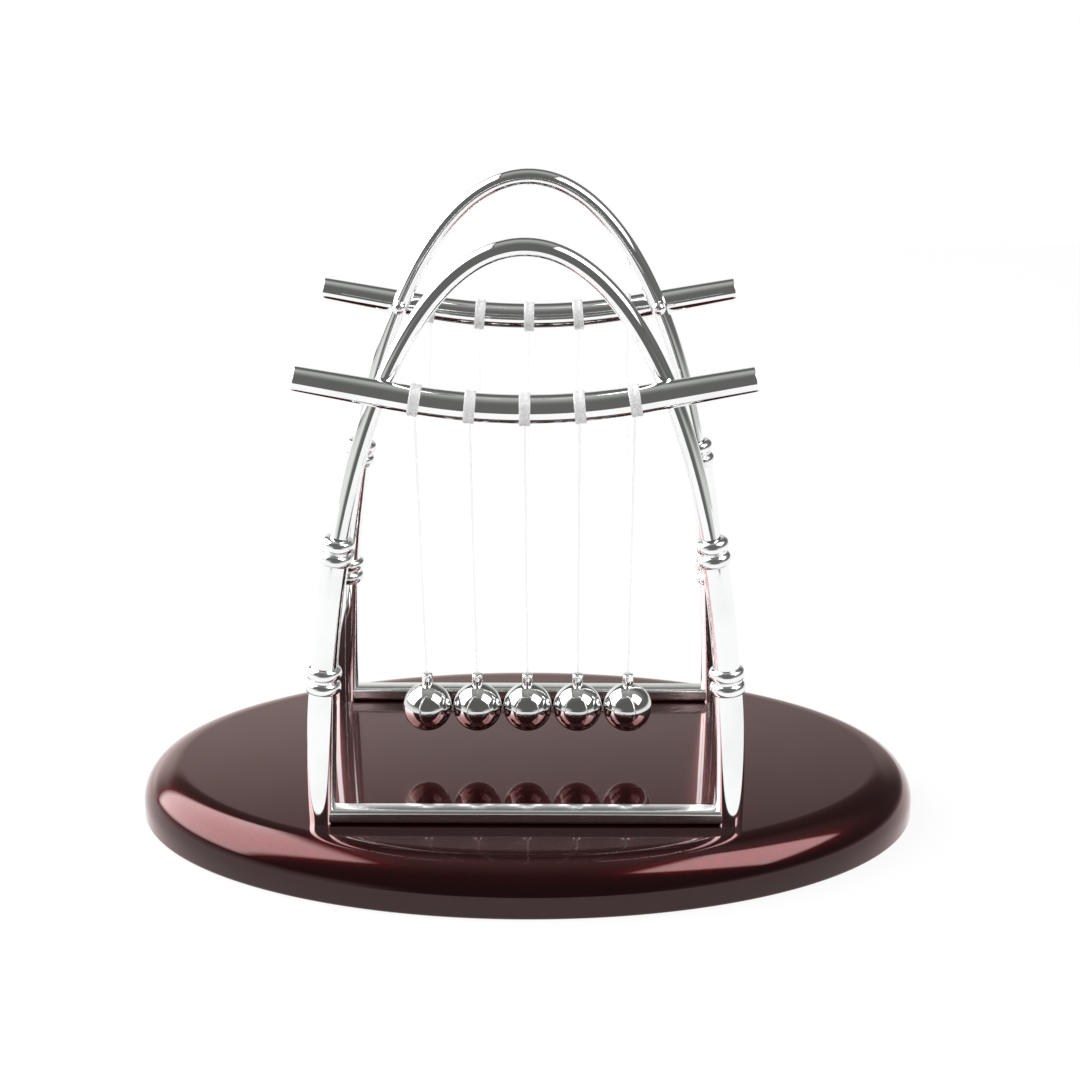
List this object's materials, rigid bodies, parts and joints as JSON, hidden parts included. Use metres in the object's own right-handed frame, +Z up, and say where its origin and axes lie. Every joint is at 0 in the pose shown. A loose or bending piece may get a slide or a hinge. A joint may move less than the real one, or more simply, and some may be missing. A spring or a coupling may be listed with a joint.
{
  "type": "newtons cradle",
  "caption": "Desk cradle: steel balls hang on thin V lines from curved rails on arched chrome frames over an oval lacquered base; the end balls swing out and strike the row.",
  "frame": {"origin": "centre of the base's underside, on the surface that it stands on", "axes": "+X along the row of balls, to the right as seen from the front; +Y from the front frame to the rear frame; +Z up"},
  "size_m": [0.18, 0.123, 0.1446],
  "materials": {
    "lacquer": "dark cherry high-gloss lacquer",
    "chrome": "mirror plated",
    "satin": "satin plated",
    "clip": "milky clear band",
    "ball": "polished steel",
    "zinc": "zinc plated",
    "nylon": "clear monofilament"
  },
  "bodies": {
    "stand": {"base": "lacquer", "leg_lower_front_left": "chrome", "leg_lower_front_right": "chrome", "leg_lower_rear_left": "chrome", "leg_lower_rear_right": "chrome", "collar_low_front_left": "chrome", "collar_low_front_right": "chrome", "collar_low_rear_left": "chrome", "collar_low_rear_right": "chrome", "leg_upper_front_left": "chrome", "leg_upper_front_right": "chrome", "leg_upper_rear_left": "chrome", "leg_upper_rear_right": "chrome", "collar_high_front_left": "chrome", "collar_high_front_right": "chrome", "collar_high_rear_left": "chrome", "collar_high_rear_right": "chrome", "arch_front": "chrome", "arch_rear": "chrome", "crossbar_front": "satin", "crossbar_rear": "satin", "rail_front": "chrome", "rail_rear": "chrome", "rivet_front_left": "chrome", "rivet_front_right": "chrome", "rivet_rear_left": "chrome", "rivet_rear_right": "chrome", "clip_front_1": "clip", "clip_front_2": "clip", "clip_front_3": "clip", "clip_front_4": "clip", "clip_front_5": "clip", "clip_rear_1": "clip", "clip_rear_2": "clip", "clip_rear_3": "clip", "clip_rear_4": "clip", "clip_rear_5": "clip", "screw_front_left": "zinc", "screw_front_right": "zinc", "screw_rear_left": "zinc", "screw_rear_right": "zinc"},
    "pendulum_1": {"ball_1": "ball", "stud_1": "chrome", "line_1": "nylon"},
    "pendulum_2": {"ball_2": "ball", "stud_2": "chrome", "line_2": "nylon"},
    "pendulum_3": {"ball_3": "ball", "stud_3": "chrome", "line_3": "nylon"},
    "pendulum_4": {"ball_4": "ball", "stud_4": "chrome", "line_4": "nylon"},
    "pendulum_5": {"ball_5": "ball", "stud_5": "chrome", "line_5": "nylon"}
  },
  "joints": [
    {"name": "swing_1", "type": "hinge", "parent": "stand", "child": "pendulum_1", "pos_m": [-0.02332, 0, 0.10656], "axis": [0, 1, 0], "range_deg": [-0.08, 60]},
    {"name": "swing_2", "type": "hinge", "parent": "stand", "child": "pendulum_2", "pos_m": [-0.01166, 0, 0.10505], "axis": [0, 1, 0], "range_deg": [-0.08, 0.08]},
    {"name": "swing_3", "type": "hinge", "parent": "stand", "child": "pendulum_3", "pos_m": [0, 0, 0.10455], "axis": [0, 1, 0], "range_deg": [-0.08, 0.08]},
    {"name": "swing_4", "type": "hinge", "parent": "stand", "child": "pendulum_4", "pos_m": [0.01166, 0, 0.10505], "axis": [0, -1, 0], "range_deg": [-0.08, 0.08]},
    {"name": "swing_5", "type": "hinge", "parent": "stand", "child": "pendulum_5", "pos_m": [0.02332, 0, 0.10656], "axis": [0, -1, 0], "range_deg": [-0.08, 60]}
  ]
}
